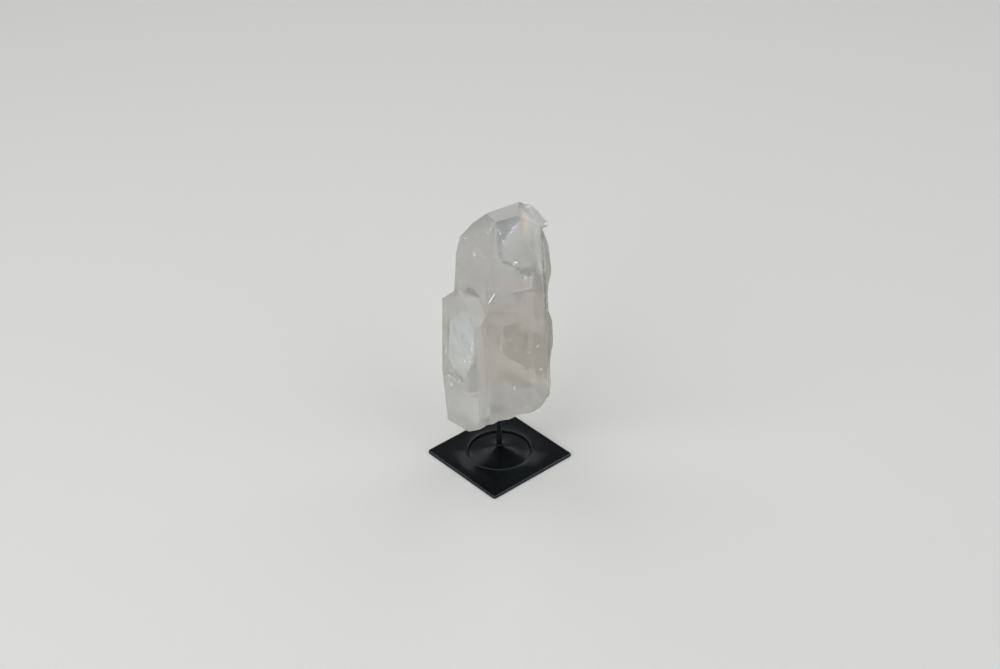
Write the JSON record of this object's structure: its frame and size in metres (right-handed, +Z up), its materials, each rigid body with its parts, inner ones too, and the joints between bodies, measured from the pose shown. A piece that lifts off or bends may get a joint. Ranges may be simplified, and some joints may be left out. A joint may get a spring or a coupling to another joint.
{
  "type": "lemurian quartz crystal",
  "caption": "Clear parallel-grown quartz crystal with striated flanks and a broken foot, held up by a rod on a square black plate stand.",
  "frame": {"origin": "centre of the plate's underside, which stands on the table", "axes": "+Z up along the rod, +X and +Y square to the plate's sides; the crystal's broad front looks about 74 degrees from -Y toward +X"},
  "size_m": [0.076, 0.0802, 0.2134],
  "materials": {
    "clear_quartz": "polished",
    "black_enamel": "gloss"
  },
  "bodies": {
    "root": {"quartz_crystal": "clear_quartz", "support_rod": "black_enamel", "base_plate": "black_enamel"}
  },
  "joints": []
}
